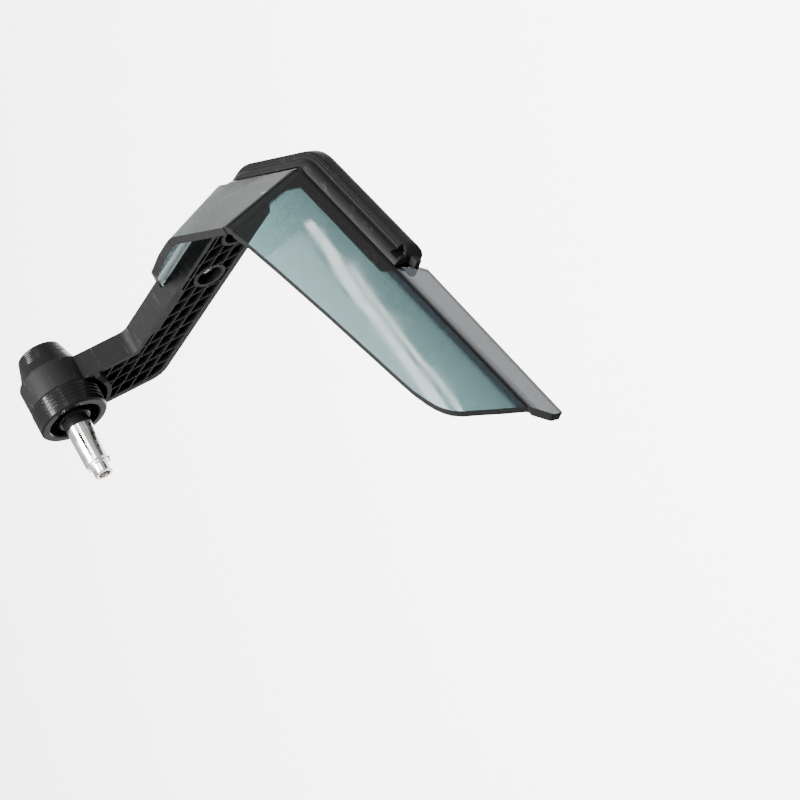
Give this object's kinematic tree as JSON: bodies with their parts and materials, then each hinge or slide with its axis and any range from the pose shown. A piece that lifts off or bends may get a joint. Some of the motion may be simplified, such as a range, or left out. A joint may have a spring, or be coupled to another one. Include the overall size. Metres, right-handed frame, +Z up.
{
  "type": "motorcycle hand guard",
  "caption": "Left-hand lever guard: a bent black arm fixed in the handlebar's end, carrying a folded smoke-tinted wind visor.",
  "frame": {"origin": "on the handlebar axis, where the end of the handlebar rests on the hub of the spacer", "axes": "+X inboard along the handlebar axis, +Y forward, +Z up"},
  "size_m": [0.2234, 0.2591, 0.0746],
  "materials": {
    "black_nylon": "fine moulded texture",
    "smoke_sheet": "clear sheet with a blue-grey smoke tint",
    "gloss_black": "gloss black over turned aluminium",
    "bright_metal": "polished",
    "plain_steel": "dull plated",
    "black_plastic": "moulded, semi-gloss",
    "black_rubber": "matt"
  },
  "bodies": {
    "root": {"guard_arm": "black_nylon", "visor": "smoke_sheet", "spacer_ring": "gloss_black", "bar_end_weight": "gloss_black", "boss_bush": "plain_steel", "expander_sleeve": "bright_metal", "wedge_nut": "plain_steel", "through_bolt": "plain_steel", "bolt_washer": "bright_metal", "bolt_lock_washer": "plain_steel", "visor_screws": "bright_metal", "visor_washers": "bright_metal", "visor_nuts": "black_plastic", "visor_bushes": "black_rubber"}
  },
  "joints": []
}
